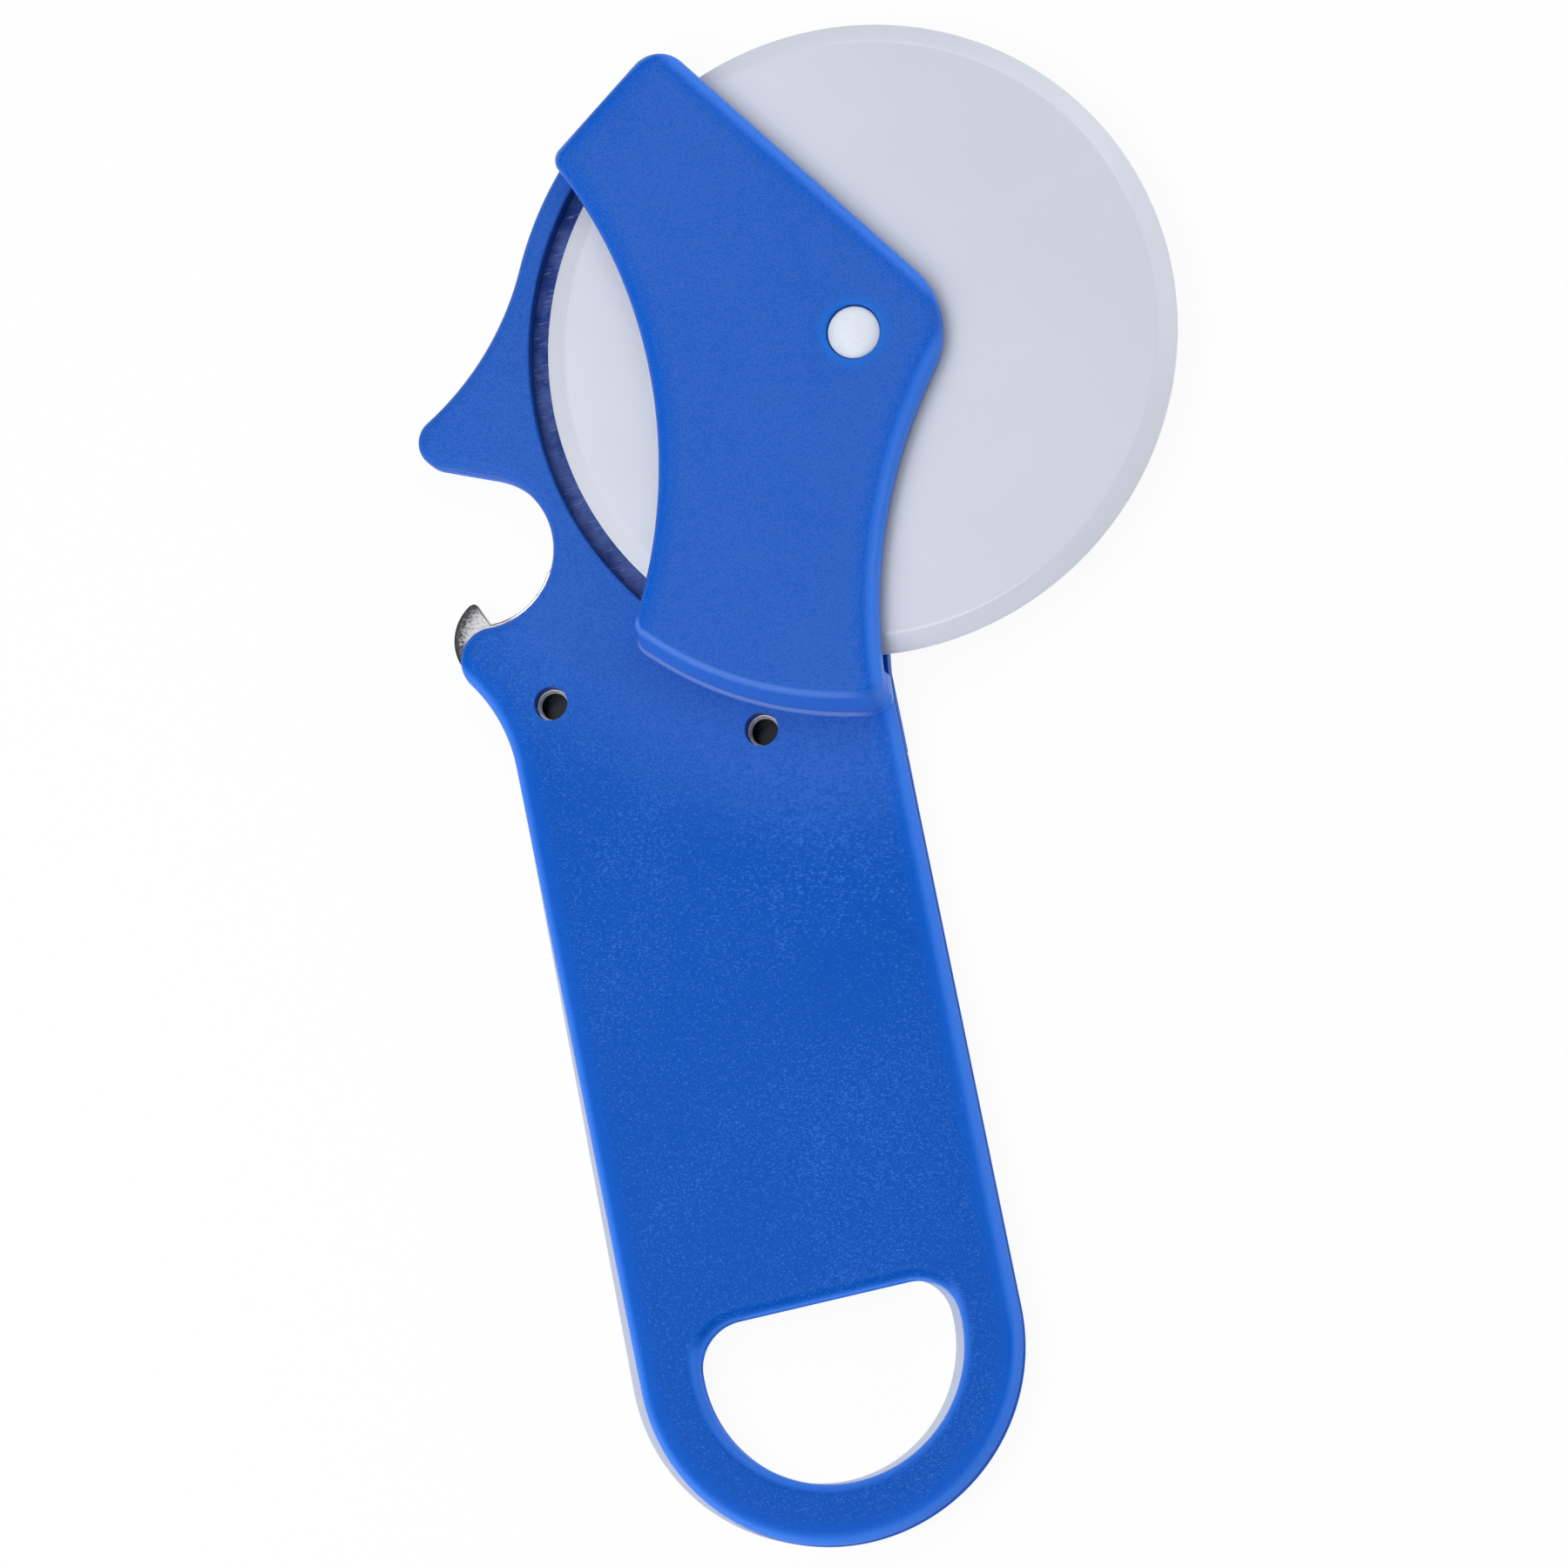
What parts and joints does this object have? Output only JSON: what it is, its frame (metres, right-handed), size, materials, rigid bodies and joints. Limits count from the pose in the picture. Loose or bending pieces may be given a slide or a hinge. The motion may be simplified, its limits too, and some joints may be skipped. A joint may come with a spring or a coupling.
{
  "type": "pizza cutter with bottle opener",
  "caption": "Flat hand-held pizza cutter: plastic wheel on an axle under a blue arm, handle with a hanging hole, and a bottle opener notch with a steel hook at the side",
  "frame": {"origin": "on the back of the handle, on its centre line, half way along the straight part of the handle", "axes": "+Y runs up the handle towards the wheel, +X towards the side the wheel stands out, +Z out of the front face"},
  "size_m": [0.1087, 0.207, 0.012],
  "materials": {
    "blue_plastic": "fine moulded grain, slight sheen",
    "white_plastic": "smooth moulded",
    "plated_steel": "bright plated, slightly grainy"
  },
  "bodies": {
    "frame": {"front_shell": "blue_plastic", "back_guard": "blue_plastic", "handle_cover": "white_plastic", "opener_plate": "plated_steel", "rivet_left": "plated_steel", "rivet_right": "plated_steel"},
    "wheel": {"cutting_wheel": "white_plastic", "axle_pin": "white_plastic"}
  },
  "joints": [
    {"name": "wheel_spin", "type": "hinge", "parent": "frame", "child": "wheel", "pos_m": [0.0326, 0.0912, 0.006], "axis": [0, 0, 1], "continuous": true}
  ]
}
